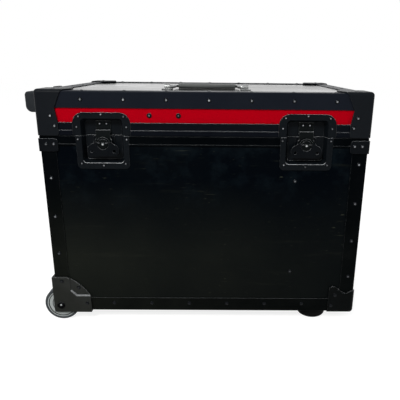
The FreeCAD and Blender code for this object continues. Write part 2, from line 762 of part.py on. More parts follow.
# Latch dish, drawn at the case middle and split at the parting line
lid_flange_top = lid_bottom + latch_lid_reach
base_flange_foot = parting - latch_base_reach
lid_flange = [
    (-latch_lid_width / 2, lid_bottom), (latch_lid_width / 2, lid_bottom),
    (latch_lid_width / 2, lid_flange_top, latch_top_round),
    (-latch_lid_width / 2, lid_flange_top, latch_top_round)]
base_flange = [
    (-latch_base_width / 2, parting), (latch_base_width / 2, parting),
    (latch_base_width / 2, base_flange_foot, latch_foot_round),
    (-latch_base_width / 2, base_flange_foot, latch_foot_round)]
mouth_low = parting - dish_foot
mouth_high = parting + dish_top
w = dish_wall
pan_inside = tapered(
    rectangle(dish_mouth, mouth_low, mouth_high, dish_round),
    rectangle(dish_floor_width, mouth_low + dish_slope, mouth_high - dish_slope, dish_round - w),
    latch_face - cut_over, dish_depth)
pan_outside = tapered(
    rectangle(dish_mouth + 2 * w, mouth_low - w, mouth_high + w, dish_round + w),
    rectangle(dish_floor_width + 2 * w, mouth_low + dish_slope - w, mouth_high - dish_slope + w, dish_round),
    latch_face, dish_depth + w)
dish_span = 2 * latch_lid_width
below = block((-dish_span, dish_span), (-dish_span, dish_span), (0, parting))
above = block((-dish_span, dish_span), (-dish_span, dish_span), (lid_bottom, 2 * top))


def dish_half(flange, part_of_pan):
    """One half of the dish, with the edge of its mouth rounded."""
    half = fused([prism("xz", flange, latch_face, skin), pan_outside.common(part_of_pan)]).cut(pan_inside)
    rim = [
        edge for edge in half.Edges
        if edge.BoundBox.YMax < latch_face + tolerance
        and abs(edge.CenterOfMass.x) < dish_mouth / 2 + tolerance
        and mouth_low - tolerance < edge.CenterOfMass.z < mouth_high + tolerance]
    return half.makeFillet(dish_edge_round, rim)


base_dish = dish_half(base_flange, below)
lid_dish = dish_half(lid_flange, above)

# Latch works: base plate, keeper, turning hub with its cam, hook, folding wing and its pin
hub_z = parting - hub_drop
plate_low = hub_z - latch_plate_height / 2 - cam_offset
plate_high = min(plate_low + latch_plate_height, parting - latch_plate_gap)
latch_plate = prism("xz", rectangle(latch_plate_width, plate_low, plate_high, latch_plate_round),
                    dish_depth - keeper_wall, dish_depth)
hub_hole = rod(hub_shaft_radius + hub_shaft_clearance, Vector(0, 0, hub_z), Vector(0, 2 * dish_depth, hub_z))
latch_plate = latch_plate.cut(hub_hole)
lip_top = parting + hook_top - hook_nose_height - hook_gap
lip_low = lip_top - keeper_lip_height
lip_front = dish_depth - keeper_wall - keeper_lip
keeper_face = dish_depth - keeper_wall
keeper = fused([
    prism("xz", rectangle(keeper_width, lip_low, parting + keeper_top), keeper_face, dish_depth),
    block((-keeper_width / 2, keeper_width / 2), (lip_front, dish_depth), (lip_low, lip_top))])
hook_back = lip_front - hook_gap
hook_front = hook_back - hook_wall
slot_z = hub_z - cam_offset
slot_half = cam_radius + cam_slot_play
yoke_low = slot_z - slot_half - hook_yoke_wall
yoke_high = slot_z + slot_half + hook_yoke_wall
hook_plan = [
    (-hook_yoke / 2, yoke_low, hook_yoke_round), (hook_yoke / 2, yoke_low, hook_yoke_round),
    (hook_yoke / 2, yoke_high, hook_yoke_round / 2), (hook_width / 2, yoke_high + hook_neck),
    (hook_width / 2, parting + hook_top), (-hook_width / 2, parting + hook_top),
    (-hook_width / 2, yoke_high + hook_neck), (-hook_yoke / 2, yoke_high, hook_yoke_round / 2)]
slot_width = 2 * (cam_radius + cam_offset + hook_gap)
hook = fused([
    prism("xz", hook_plan, hook_front, hook_back),
    block((-hook_width / 2, hook_width / 2), (hook_front, hook_back + hook_nose),
          (parting + hook_top - hook_nose_height, parting + hook_top))])
slot_plan = rectangle(slot_width, slot_z - slot_half, slot_z + slot_half, slot_half - cam_slot_flat)
hook = hook.cut(prism("xz", slot_plan, hook_front - cut_over, hook_back + cut_over))
cam_back = hub_cap_depth + hub_cap_wall + cam_wall
hub_profile = [
    (0, -hub_boss_proud), (hub_button, -hub_boss_proud, hub_button_round), (hub_button, hub_button_foot),
    hub_crown, (hub_boss, hub_boss_edge, hub_boss_round), (hub_boss, hub_cap_depth),
    (hub_cap_radius, hub_cap_depth), (hub_cap_radius, hub_cap_depth + hub_cap_wall),
    (hub_shaft_radius, hub_cap_depth + hub_cap_wall), (hub_shaft_radius, dish_depth - hook_gap),
    (0, dish_depth - hook_gap)]
cam_centre = Vector(0, hub_cap_depth, hub_z - cam_offset)
hub = shifted(turned(hub_profile, Vector(0, 1, 0)), z=hub_z)
hub = fused([hub, rod(cam_radius, cam_centre, Vector(0, cam_back, cam_centre.z))])
fold_z = hub_z + wing_axis_rise
fold_y = wing_depth + wing_wall / 2
pin_ends = (Vector(-wing_shoulder, fold_y, fold_z), Vector(wing_shoulder, fold_y, fold_z))
hub = hub.cut(rod(wing_pin_radius, *pin_ends))
wing_pin = rod(wing_pin_radius, *pin_ends)
wing_half = [
    (wing_lobe, hub_z - wing_lobe_drop, wing_lobe_round),
    (wing_lobe, hub_z - wing_waist_drop, wing_foot_round),
    (wing_foot, hub_z - wing_foot_drop, wing_foot_round)]
wing_plan = [(wing_shoulder, fold_z)] + wing_half
wing_plan += [(-c[0],) + tuple(c[1:]) for c in reversed(wing_plan)]
wing = prism("xz", wing_plan, wing_depth, wing_depth + wing_wall)
wing = fused([wing, rod(wing_barrel_radius, *pin_ends)])
notch = hub_boss + wing_notch_play
wing_front = wing_depth - hub_cap_depth
wing_back = wing_depth + hub_cap_depth
wing = wing.cut(rod(notch, Vector(0, wing_front, hub_z), Vector(0, wing_back, hub_z)))
wing = wing.cut(block((-notch, notch), (wing_front, wing_back), (hub_z, parting)))
wing = wing.cut(rod(wing_pin_radius + wing_pin_clearance, *pin_ends))
for x in (-wing_hole_offset, wing_hole_offset):
    hole_z = hub_z - wing_hole_drop
    wing = wing.cut(rod(wing_hole_radius, Vector(x, wing_front, hole_z), Vector(x, wing_back, hole_z)))

latch_seats = {"left": -latch_offset, "right": latch_offset}
keep("latch_base_dishes", *[shifted(base_dish, x, -half_d) for x in latch_seats.values()])
keep("latch_lid_dishes", *[shifted(lid_dish, x, -half_d) for x in latch_seats.values()])
keep("latch_plates", *[shifted(latch_plate, x, -half_d) for x in latch_seats.values()])
keep("latch_keepers", *[shifted(keeper, x, -half_d) for x in latch_seats.values()])
for name, x in latch_seats.items():
    for piece, shape in (("hub", hub), ("hook", hook), ("wing", wing), ("pin", wing_pin)):
        keep("latch_" + name + "_" + piece, shifted(shape, x, -half_d))

# Hinges on the back, drawn on a face at y = 0 with the pin at -Y
pin_z = parting + parting_gap / 2
leaf_half = hinge_width / 2
pin_line = [Vector(x, -hinge_axis_out, pin_z) for x in (-leaf_half, leaf_half)]
knuckle_length = hinge_width / hinge_knuckles
across = (-leaf_half, leaf_half)
base_leaf = [
    block(across, (-hinge_wall, 0), (base_rim_bottom - hinge_joggle, parting - rim_bead)),
    block(across, (0, skin), (parting - hinge_base_leaf, base_rim_bottom))]
lid_leaf = [
    block(across, (-hinge_wall, 0), (lid_bottom + rim_bead, lid_rim_top + hinge_joggle)),
    block(across, (0, skin), (lid_rim_top, lid_bottom + hinge_lid_leaf))]
web_y = (-hinge_axis_out, -hinge_wall / 2)
base_room = []
lid_room = []
for i in range(hinge_knuckles):
    start = -leaf_half + i * knuckle_length
    ends = [Vector(x, -hinge_axis_out, pin_z) for x in (start, start + knuckle_length)]
    inset = Vector(hinge_knuckle_gap / 2, 0, 0)
    knuckle = rod(hinge_knuckle_radius, ends[0] + inset, ends[1] - inset)
    room = rod(hinge_knuckle_radius + hinge_knuckle_gap, *ends)
    web_x = (start + hinge_knuckle_gap / 2, start + knuckle_length - hinge_knuckle_gap / 2)
    if i % 2 == 0:
        web_z = (pin_z - hinge_knuckle_radius, pin_z - hinge_knuckle_radius + hinge_wall)
        base_leaf += [knuckle, block(web_x, web_y, web_z)]
        lid_room.append(room)
    else:
        web_z = (pin_z + hinge_knuckle_radius - hinge_wall, pin_z + hinge_knuckle_radius)
        lid_leaf += [knuckle, block(web_x, web_y, web_z)]
        base_room.append(room)

# Each base leaf carries a stop that meets the lid leaf when the lid is fully open
opening = math.radians(lid_opening)
face_out = hinge_axis_out - hinge_wall


def stop_level(out):
    """Height of the opened lid leaf's face above the pin, at a distance out from the pin."""
    along = (out + face_out * math.cos(opening)) / math.sin(opening)
    return face_out * math.sin(opening) + along * math.cos(opening) - hinge_stop_gap


stop_profile = [
    (-hinge_axis_out + face_out, pin_z - 2 * hinge_knuckle_radius),
    (-hinge_axis_out - hinge_stop_near, pin_z + stop_level(hinge_stop_near)),
    (-hinge_axis_out - hinge_stop_far, pin_z + stop_level(hinge_stop_far)),
    (-hinge_axis_out - hinge_stop_far, pin_z + stop_level(hinge_stop_far) - 2 * hinge_wall),
    (-hinge_axis_out + face_out, base_rim_bottom - hinge_joggle)]
base_leaf.append(prism("yz", stop_profile, -hinge_stop_width / 2, hinge_stop_width / 2))
bore = rod(hinge_pin_radius + hinge_pin_clearance, *pin_line)
hinge_pin = rod(hinge_pin_radius, *pin_line)
base_leaf = fused(base_leaf).cut(Part.makeCompound(base_room)).cut(hinge_pin)
lid_leaf = fused(lid_leaf).cut(Part.makeCompound(lid_room)).cut(bore)
hinge_seats = (-hinge_offset, hinge_offset)
keep("hinge_base_leaves", *[placed(shifted(base_leaf, x), "back") for x in hinge_seats])
keep("hinge_lid_leaves", *[placed(shifted(lid_leaf, x), "back") for x in hinge_seats])
keep("hinge_pins", *[placed(shifted(hinge_pin, x), "back") for x in hinge_seats])

# Pull-up handle: two telescoping tubes in three stages, drawn for one tube at y = 0
tube_x = -half_w - tube_standoff - outer_tube[0] / 2
tube_low = base_bottom + outer_tube_foot
tube_high = parting - outer_tube_top


def section(size, radius):
    return [
        (tube_x - size[0] / 2, -size[1] / 2, radius), (tube_x + size[0] / 2, -size[1] / 2, radius),
        (tube_x + size[0] / 2, size[1] / 2, radius), (tube_x - size[0] / 2, size[1] / 2, radius)]


def smaller(size, by):
    return (size[0] - 2 * by, size[1] - 2 * by)


def tube(size, radius, low, high):
    hollow = prism("xy", section(smaller(size, tube_wall), radius - tube_wall), low, high)
    return prism("xy", section(size, radius), low, high).cut(hollow)


step = tube_wall + tube_play
middle_tube = smaller(outer_tube, step)
inner_tube = smaller(middle_tube, step)
outer_stage = tube(outer_tube, tube_round, tube_low, tube_high)
middle_round = tube_round - step + tube_round_ease
inner_round = middle_round - step + tube_round_ease
middle_foot = tube_low + plug_height + stage_foot_gap
inner_foot = middle_foot + stage_foot_gap
middle_stage = tube(middle_tube, middle_round, middle_foot, tube_high + stage_step)
grip_top = top - grip_top_drop
grip_low = grip_top - grip_height
inner_stage = tube(inner_tube, inner_round, inner_foot, grip_low + grip_socket)
tube_seats = (-tube_offset, tube_offset)


def both_tubes(name, shape):
    keep(name, *[shifted(shape, 0, y) for y in tube_seats])


both_tubes("trolley_outer_tubes", outer_stage)
both_tubes("trolley_middle_tubes", middle_stage)
both_tubes("trolley_inner_tubes", inner_stage)
plug_section = section(smaller(outer_tube, tube_wall + plug_play), tube_round - tube_wall)
plug = fused([
    prism("xy", plug_section, tube_low - plug_cap, tube_low + plug_height),
    prism("xy", section(outer_tube, tube_round), tube_low - plug_cap, tube_low)])
both_tubes("trolley_tube_plugs", plug)

# Collar on top of each outer tube and clamps that hold the tubes to the left panel
collar_size = smaller(outer_tube, -collar_wall)
collar = prism("xy", section(collar_size, tube_round), tube_high - collar_height, tube_high + collar_lip)
collar = collar.cut(prism("xy", section(outer_tube, tube_round), tube_low, tube_high))
collar_bore = section(smaller(middle_tube, -tube_play), middle_round)
collar = collar.cut(prism("xy", collar_bore, tube_low, top))
both_tubes("trolley_collars", collar)
clamp_size = smaller(outer_tube, -clamp_wall)
clamp_face = -half_w + skin
clamp_plan = [
    (clamp_face, -clamp_size[1] / 2 - clamp_ear), (clamp_face, clamp_size[1] / 2 + clamp_ear),
    (clamp_face - clamp_wall, clamp_size[1] / 2 + clamp_ear), (clamp_face - clamp_wall, clamp_size[1] / 2),
    (tube_x - clamp_size[0] / 2, clamp_size[1] / 2, tube_round),
    (tube_x - clamp_size[0] / 2, -clamp_size[1] / 2, tube_round),
    (clamp_face - clamp_wall, -clamp_size[1] / 2), (clamp_face - clamp_wall, -clamp_size[1] / 2 - clamp_ear)]
clamp_bore = prism("xy", section(smaller(outer_tube, -clamp_play), tube_round), tube_low, tube_high)
clamp_levels = (tube_low + clamp_inset, tube_high - clamp_inset - clamp_height - collar_height)
clamps = []
for low in clamp_levels:
    clamp = prism("xy", clamp_plan, low, low + clamp_height).cut(clamp_bore)
    clamps += [shifted(clamp, 0, y) for y in tube_seats]
keep("trolley_clamps", *clamps)

# Grip across the inner tubes, with a finger space behind the bar and a release button on top
grip_out = -half_w - grip_reach
grip_in = -half_w - grip_gap
grip_half = half_d - grip_setback
grip_profile = [
    (grip_in, grip_low, grip_inner_round), (grip_in, grip_top, grip_inner_round),
    (grip_out, grip_top, grip_top_round), (grip_out, grip_low, grip_low_round)]
grip = prism("xz", grip_profile, -grip_half, grip_half)
finger_half = tube_offset - grip_finger_inset
finger_plan = [
    (grip_out + grip_bar, -finger_half, finger_round), (grip_out + grip_bar, finger_half, finger_round),
    (grip_in + grip_gap, finger_half), (grip_in + grip_gap, -finger_half)]
grip = grip.cut(prism("xy", finger_plan, grip_low - cut_over, grip_top + cut_over))
grip_ends = [edge for edge in grip.Edges if abs(edge.BoundBox.YMin) > grip_half - tolerance
             and edge.BoundBox.YLength < tolerance]
grip = grip.makeFillet(grip_end_round, grip_ends)
socket = prism("xy", section(inner_tube, inner_round), grip_low - cut_over, grip_low + grip_socket)
for y in tube_seats:
    grip = grip.cut(shifted(socket, 0, y))
button_x = grip_out + grip_bar / 2 + button_offset
button_low = grip_top - button_height


def button_outline(play):
    length = button_length / 2 + play
    width = button_width / 2 + play
    radius = width - button_flat
    return [(button_x - width, -length, radius), (button_x + width, -length, radius),
            (button_x + width, length, radius), (button_x - width, length, radius)]


grip = grip.cut(prism("xy", button_outline(button_play), button_low - button_travel - button_foot_gap, top))
keep("trolley_grip", grip)
keep("trolley_button", prism("xy", button_outline(0), button_low, grip_top + button_proud))

# Carrying handle on the lid, folded back flat
pivot_y = -half_d + handle_setback
wire_z = top - skin + handle_rise
grip_y = pivot_y + handle_arm
stub_x = handle_span + handle_stub
bail_plan = [
    (-stub_x, pivot_y), (-handle_span, pivot_y), (-handle_span, grip_y),
    (handle_span, grip_y), (handle_span, pivot_y), (stub_x, pivot_y)]
bail_points = [Vector(x, y, wire_z) for x, y in bail_plan]
keep("handle_bail", wire_bail(bail_points, handle_bend, handle_wire))
grip_section = [
    (grip_y - handle_grip_width / 2, wire_z - handle_grip_height / 2, handle_grip_round),
    (grip_y + handle_grip_width / 2, wire_z - handle_grip_height / 2, handle_grip_round),
    (grip_y + handle_grip_width / 2, wire_z + handle_grip_height / 2, handle_grip_round),
    (grip_y - handle_grip_width / 2, wire_z + handle_grip_height / 2, handle_grip_round)]
hand_grip_end = handle_span - handle_grip_inset
hand_grip = prism("yz", grip_section, -hand_grip_end, hand_grip_end)
hand_grip = hand_grip.cut(rod(handle_wire, *bail_points[2:4]))
keep("handle_grip", hand_grip)
bracket_x = handle_span + bracket_outset
seat_z = top - skin
bracket = prism("xy", [
    (bracket_x - bracket_width / 2, pivot_y - bracket_length / 2, bracket_round),
    (bracket_x + bracket_width / 2, pivot_y - bracket_length / 2, bracket_round),
    (bracket_x + bracket_width / 2, pivot_y + bracket_length / 2, bracket_round),
    (bracket_x - bracket_width / 2, pivot_y + bracket_length / 2, bracket_round)],
    seat_z, seat_z + bracket_wall)
loop_radius = handle_wire + handle_play + bracket_loop_wall
loop_x = (bracket_x - bracket_loop / 2, bracket_x + bracket_loop / 2)
loop = [
    rod(loop_radius, Vector(loop_x[0], pivot_y, wire_z), Vector(loop_x[1], pivot_y, wire_z)),
    block(loop_x, (pivot_y - loop_radius, pivot_y + loop_radius), (seat_z, wire_z))]
bracket = fused([bracket] + loop)
pivot_hole = rod(handle_wire + handle_play, Vector(0, pivot_y, wire_z), Vector(half_w, pivot_y, wire_z))
bracket = bracket.cut(pivot_hole)
keep("handle_brackets", *left_and_right(bracket))

# Recessed handle on the right end, drawn on a face at y = 0 and put on the right side
level = base_bottom + side_handle_rise


def side_rectangle(size, play, radius):
    return rectangle(size[0] + 2 * play, level - size[1] / 2 - play, level + size[1] / 2 + play, radius)


stub_end = side_span + side_stub
side_mouth = (2 * (stub_end + side_mouth_play), side_mouth_height)
side_floor = [size - 2 * side_slope for size in side_mouth]
side_frame = [size + 2 * side_flange_leg for size in side_mouth]
side_flange = prism("xz", side_rectangle(side_frame, 0, 2 * side_round), latch_face, skin)
side_outside = tapered(
    side_rectangle(side_mouth, w, side_round + w), side_rectangle(side_floor, w, side_round),
    latch_face, side_depth + w)
side_inside = tapered(
    side_rectangle(side_mouth, 0, side_round), side_rectangle(side_floor, 0, side_round - w),
    latch_face - cut_over, side_depth)
side_dish = fused([side_flange, side_outside]).cut(side_inside)
axis_z = level + side_axis_rise
lug_radius = side_wire + handle_play + side_lug_wall
for end in (-1, 1):
    near = end * (stub_end - side_lug_length)
    lug_span = (min(near, end * stub_end), max(near, end * stub_end))
    lug = rod(lug_radius, *[Vector(x, side_wire_depth, axis_z) for x in lug_span])
    lug_foot = block(lug_span, (side_wire_depth, side_depth), (axis_z - lug_radius, axis_z + lug_radius))
    lug = fused([lug, lug_foot]).common(side_outside)
    side_dish = fused([side_dish, lug])
side_dish = side_dish.cut(rod(side_wire + handle_play, Vector(-stub_end, side_wire_depth, axis_z),
                              Vector(stub_end, side_wire_depth, axis_z)))
side_bar_z = axis_z - side_arm
reach = stub_end - side_stub_play
side_bail = wire_bail([
    Vector(-reach, side_wire_depth, axis_z), Vector(-side_span, side_wire_depth, axis_z),
    Vector(-side_span, side_wire_depth, side_bar_z), Vector(side_span, side_wire_depth, side_bar_z),
    Vector(side_span, side_wire_depth, axis_z), Vector(reach, side_wire_depth, axis_z)], side_bend, side_wire)
side_reach = side_span - side_grip_inset
bar_ends = [Vector(x, side_wire_depth, side_bar_z) for x in (-side_reach, side_reach)]
side_grip = rod(side_grip_radius, *bar_ends).cut(rod(side_wire, *bar_ends))
keep("side_handle_dish", placed(side_dish, "right"))
keep("side_handle_bail", placed(side_bail, "right"))
keep("side_handle_grip", placed(side_grip, "right"))

# Plywood panels
wide = (-half_w + skin, half_w - skin)
deep = (-half_d + skin, half_d - skin)
between = (-half_d + inner, half_d - inner)
base_rise = (floor_level, base_panel_top)
lid_rise = (lid_panel_bottom, ceiling_level)
front_face = (-half_d + skin, -half_d + inner)
back_face = (half_d - inner, half_d - skin)
left_face = (-half_w + skin, -half_w + inner)
right_face = (half_w - inner, half_w - skin)
latch_room = tapered(
    rectangle(dish_mouth + 2 * w, mouth_low - w, mouth_high + w, dish_round + w),
    rectangle(dish_mouth + 2 * w, mouth_low - w, mouth_high + w, dish_round + w), -cut_over, dish_depth + w)
latch_rooms = [shifted(latch_room, x, -half_d) for x in latch_seats.values()]
side_room = prism("xz", side_rectangle(side_mouth, w, side_round + w), -cut_over, side_depth + w)
side_room = placed(side_room, "right")
base_bottom_panel = block(wide, deep, (base_bottom + skin, floor_level)).cut(Part.makeCompound(well_rooms))
for screw_y in (foot_y, -foot_y):
    base_bottom_panel = base_bottom_panel.cut(
        rod(foot_screw_radius / 2, Vector(foot_x, screw_y, 0), Vector(foot_x, screw_y, floor_level)))
keep("base_bottom_panel", base_bottom_panel)
keep("base_front_panel", block(wide, front_face, base_rise).cut(Part.makeCompound(latch_rooms + well_rooms)))
keep("base_back_panel", block(wide, back_face, base_rise).cut(Part.makeCompound(well_rooms)))
keep("base_left_panel", block(left_face, between, base_rise).cut(Part.makeCompound(well_rooms)))
keep("base_right_panel", block(right_face, between, base_rise).cut(side_room))
keep("lid_top_panel", block(wide, deep, (ceiling_level, top - skin)))
keep("lid_front_panel", block(wide, front_face, lid_rise).cut(Part.makeCompound(latch_rooms)))
keep("lid_back_panel", block(wide, back_face, lid_rise))
keep("lid_end_panels", *left_and_right(block(left_face, between, lid_rise)))

# Divider board in two angles, and foam on the floor and under the lid top
divider_fixing = half_w - divider_inset
divider_left = divider_fixing + divider_cleat / 2
divider_rise = (floor_level, base_panel_top - divider_drop)
keep("divider_board", block((divider_left, divider_left + divider_thickness), between, divider_rise))
a = divider_cleat_wall
angle_plan = [
    (divider_left, between[0]), (divider_left, between[0] + divider_cleat),
    (divider_left - a, between[0] + divider_cleat), (divider_left - a, between[0] + a),
    (divider_left - divider_cleat, between[0] + a), (divider_left - divider_cleat, between[0])]
keep("divider_angles", *front_and_back(prism("xy", angle_plan, *divider_rise)))
g = foam_play
foam_rise = (floor_level + g, floor_level + g + foam_thickness)
foam_y = (between[0] + g, between[1] - g)
well_edge = axle_x + well_reach + housing_wall + g
main_foam = block((-half_w + inner + g, divider_left - g), foam_y, foam_rise)
corner_x = (-half_w, well_edge)
corner_y = (-half_d, -half_d + well_far + housing_wall + g)
angle_x = (divider_left - divider_cleat - g, divider_left)
angle_y = (-half_d, between[0] + divider_cleat + g)
for notch in (block(corner_x, corner_y, foam_rise), block(angle_x, angle_y, foam_rise)):
    main_foam = main_foam.cut(notch).cut(mirror_y(notch))
side_foam = block((divider_left + divider_thickness + g, half_w - inner - g), foam_y, foam_rise)
keep("floor_foam", main_foam, side_foam)
lid_wide = (-half_w + inner + g, half_w - inner - g)
keep("lid_foam", block(lid_wide, foam_y, (ceiling_level - g - foam_thickness, ceiling_level - g)))


# Rivets: domed heads seated on the faces
def rivet_head(radius, height, sink):
    ball = (radius ** 2 + height ** 2) / (2 * height)
    profile = [(0, -sink), (radius, -sink)]
    for share in (0.9, 0.7, 0.4):
        profile.append((share * radius, ball - height - sink - math.sqrt(ball ** 2 - (share * radius) ** 2)))
    return turned(profile + [(0, -sink - height)], Vector(0, 1, 0))


def rivets_on(side, spots, raised, small=False):
    """Heads at (along, level) on one side, on a face raised above the case face."""
    if small:
        head = rivet_head(small_rivet_radius, small_rivet_height, raised)
    else:
        head = rivet_head(rivet_radius, rivet_height, raised)
    return [placed(shifted(head, along, 0, z), side) for along, z in spots]


def rivets_flat(side, row, inward, level, facing):
    """Heads along one side, in from it, on a leg that faces up (1) or down (-1)."""
    head = rivet_head(rivet_radius, rivet_height, 0)
    head.rotate(Vector(), Vector(1, 0, 0), -90 * facing)
    return [placed(shifted(head, along, inward, level), side) for along in row]


def spaced(start, end):
    """Even row at the rivet pitch, centred between two fittings."""
    count = max(1, round((end - start) / rivet_pitch))
    first = (start + end) / 2 - (count - 1) * rivet_pitch / 2
    return [first + i * rivet_pitch for i in range(count)]


def end_sign(side):
    """Which end of a side, seen from outside, is toward the wheels."""
    return {"front": -1, "back": 1}[side]


lid_rivets = []
base_rivets = []
edge_mid = edge_leg / 2
for side in sides:
    half = side_length(side) / 2
    shift = front_row_shift if side == "front" else 0
    row = [x + shift for x in spaced(-half + cover_top_width, half - cover_top_width)]
    lid_rivets += rivets_on(side, [(x, top - lid_edge_leg / 2) for x in row], 0)
    lid_rivets += rivets_flat(side, row, edge_mid, top, 1)
    cover_marks = [(s * (half - u), top - v) for u, v in cover_rivets for s in (-1, 1)]
    lid_rivets += rivets_on(side, cover_marks, cover_wall)
    if side in ("front", "back"):
        cover_ends = (cover_top_rivet - half, half - cover_top_rivet)
        lid_rivets += rivets_flat(side, cover_ends, cover_top_rivet, top + cover_wall, 1)
    brace_level = brace_top - brace_height + brace_rivet_rise
    brace_marks = [(s * (half - u), brace_level) for u in brace_rivets for s in (-1, 1)]
    base_rivets += rivets_on(side, brace_marks, brace_wall)

# Rows along the base, between the wheel housings and the ball corners
ball_inset = ball_lobe[1]
brace_low = brace_top - brace_height
for side in ("front", "back"):
    sign = end_sign(side)
    low_ends = sorted((sign * (half_w - plate_width), -sign * (half_w - ball_inset)))
    base_rivets += rivets_on(side, [(x, base_bottom + low_row_rise) for x in spaced(*low_ends)], 0)
    under_ends = sorted((sign * (half_w - plate_width), -sign * (half_w - foot_inset_x - foot_radius)))
    base_rivets += rivets_flat(side, spaced(*under_ends), edge_mid, base_bottom, -1)
    wheel_row = spaced(plate_top, brace_low)
    ball_row = spaced(base_bottom + ball_inset, brace_low)
    base_rivets += rivets_on(side, [(sign * (half_w - edge_mid), z) for z in wheel_row], 0)
    base_rivets += rivets_on(side, [(-sign * (half_w - edge_mid), z) for z in ball_row], 0)
    plate_marks = [
        (post_rivet[0], plate_top - post_rivet[1], plate_proud),
        (lobe_rivet[0], plate_top - lobe_rivet[1], plate_flange),
        (sill_rivet[0], base_bottom + sill_rivet[1], plate_proud)]
    for u, z, raised in plate_marks:
        base_rivets += rivets_on(side, [(sign * (half_w - u), z)], raised)
    divider_levels = (divider_rise[0] + divider_low_rivet, divider_rise[1] - divider_top_rivet)
    divider_marks = [(-sign * divider_fixing, z) for z in divider_levels]
    base_rivets += rivets_on(side, divider_marks, -skin)
left_row = spaced(-half_d + plate_return, half_d - plate_return)
base_rivets += rivets_on("left", [(x, base_bottom + low_row_rise) for x in left_row], 0)
base_rivets += rivets_flat("left", left_row, edge_mid, base_bottom, -1)
right_row = spaced(-half_d + ball_inset, half_d - ball_inset)
base_rivets += rivets_on("right", [(x, base_bottom + low_row_rise) for x in right_row], 0)
foot_side = half_d - foot_inset_y - foot_radius
base_rivets += rivets_flat("right", spaced(-foot_side, foot_side), edge_mid, base_bottom, -1)
for side, foot_of_row in (("left", plate_top), ("right", base_bottom + ball_inset)):
    marks = [(s * (half_d - edge_mid), z) for z in spaced(foot_of_row, brace_low) for s in (-1, 1)]
    base_rivets += rivets_on(side, marks, 0)
for side, half, ends in (("front", half_w, (1,)), ("back", half_w, (-1,)), ("right", half_d, (-1, 1))):
    marks = [(s * (half - u), base_bottom + v) for u, v in ball_rivets for s in ends]
    base_rivets += rivets_on(side, marks, ball_wall)

# Latch, hinge, side handle and clamp rivets
for x in latch_seats.values():
    lid_marks = [(x, lid_flange_top - latch_edge_rivet)]
    base_marks = [(x, base_flange_foot + latch_foot_edge_rivet)]
    for s in (-1, 1):
        lid_edge = x + s * latch_lid_width / 2
        base_edge = x + s * latch_base_width / 2
        lid_marks += [
            (lid_edge - s * latch_side_rivet, lid_bottom + latch_side_rivet_rise),
            (lid_edge - s * latch_corner_rivet[0], lid_flange_top - latch_corner_rivet[1])]
        base_marks += [
            (base_edge - s * latch_foot_side_rivet, parting - latch_foot_side_rivet_drop),
            (base_edge - s * latch_foot_corner_rivet[0], base_flange_foot + latch_foot_corner_rivet[1])]
    lid_rivets += rivets_on("front", lid_marks, -latch_face, True)
    base_rivets += rivets_on("front", base_marks, -latch_face, True)
    keeper_sink = keeper_wall - dish_depth
    keeper_marks = [(x + s * keeper_rivet_spread, parting + keeper_top - keeper_rivet_drop) for s in (-1, 1)]
    lid_rivets += rivets_on("front", keeper_marks, keeper_sink, True)
for x in hinge_seats:
    leaf_marks = [x - leaf_half + leaf_rivet[0], x, x + leaf_half - leaf_rivet[0]]
    base_level = parting - hinge_base_leaf + leaf_rivet[1]
    lid_level = lid_bottom + hinge_lid_leaf - leaf_rivet[1]
    base_rivets += rivets_on("back", [(u, base_level) for u in leaf_marks], 0, True)
    lid_rivets += rivets_on("back", [(u, lid_level) for u in leaf_marks], 0, True)
frame_marks = [(s * frame_rivets[0], level + r * frame_rivets[1]) for s in (-1, 1) for r in (-1, 0, 1)]
base_rivets += rivets_on("right", frame_marks, -latch_face)
clamp_out = clamp_size[1] / 2 + clamp_ear / 2
for low in clamp_levels:
    marks = [(y + s * clamp_out, low + clamp_height / 2) for y in tube_seats for s in (-1, 1)]
    base_rivets += rivets_on("left", marks, clamp_wall - skin)

# Washered rivets in the front of the lid and heads on the carrying handle brackets
washers = []
washer_level = top - washer_drop
for x in (place - latch_offset for place in washer_places):
    disc = rod(washer_radius, Vector(x, skin - washer_wall, washer_level), Vector(x, skin, washer_level))
    washers.append(placed(disc, "front"))
    lid_rivets += rivets_on("front", [(x, washer_level)], washer_wall - skin, True)
upright = rivet_head(small_rivet_radius, small_rivet_height, 0)
upright.rotate(Vector(), Vector(1, 0, 0), -90)
for x in (-bracket_x, bracket_x):
    for y in (pivot_y - bracket_rivet, pivot_y + bracket_rivet):
        lid_rivets.append(shifted(upright, x, y, seat_z + bracket_wall))
keep("lid_rivets", *lid_rivets)
keep("base_rivets", *base_rivets)
keep("lid_washers", *washers)

# The origin is the middle of the outer size, on the floor
reach_left = half_w + grip_reach
reach_right = half_w + max(ball_wall, cover_wall) + rivet_height
reach_front = half_d + plate_proud + axle_head_height
reach_back = half_d + hinge_axis_out + hinge_stop_far
origin_shift = Vector((reach_left - reach_right) / 2, (reach_front - reach_back) / 2, 0)
os.makedirs("parts", exist_ok=True)
for name, shape in nodes.items():
    shape.translate(origin_shift)
    shape.exportStep("parts/" + name + ".step")
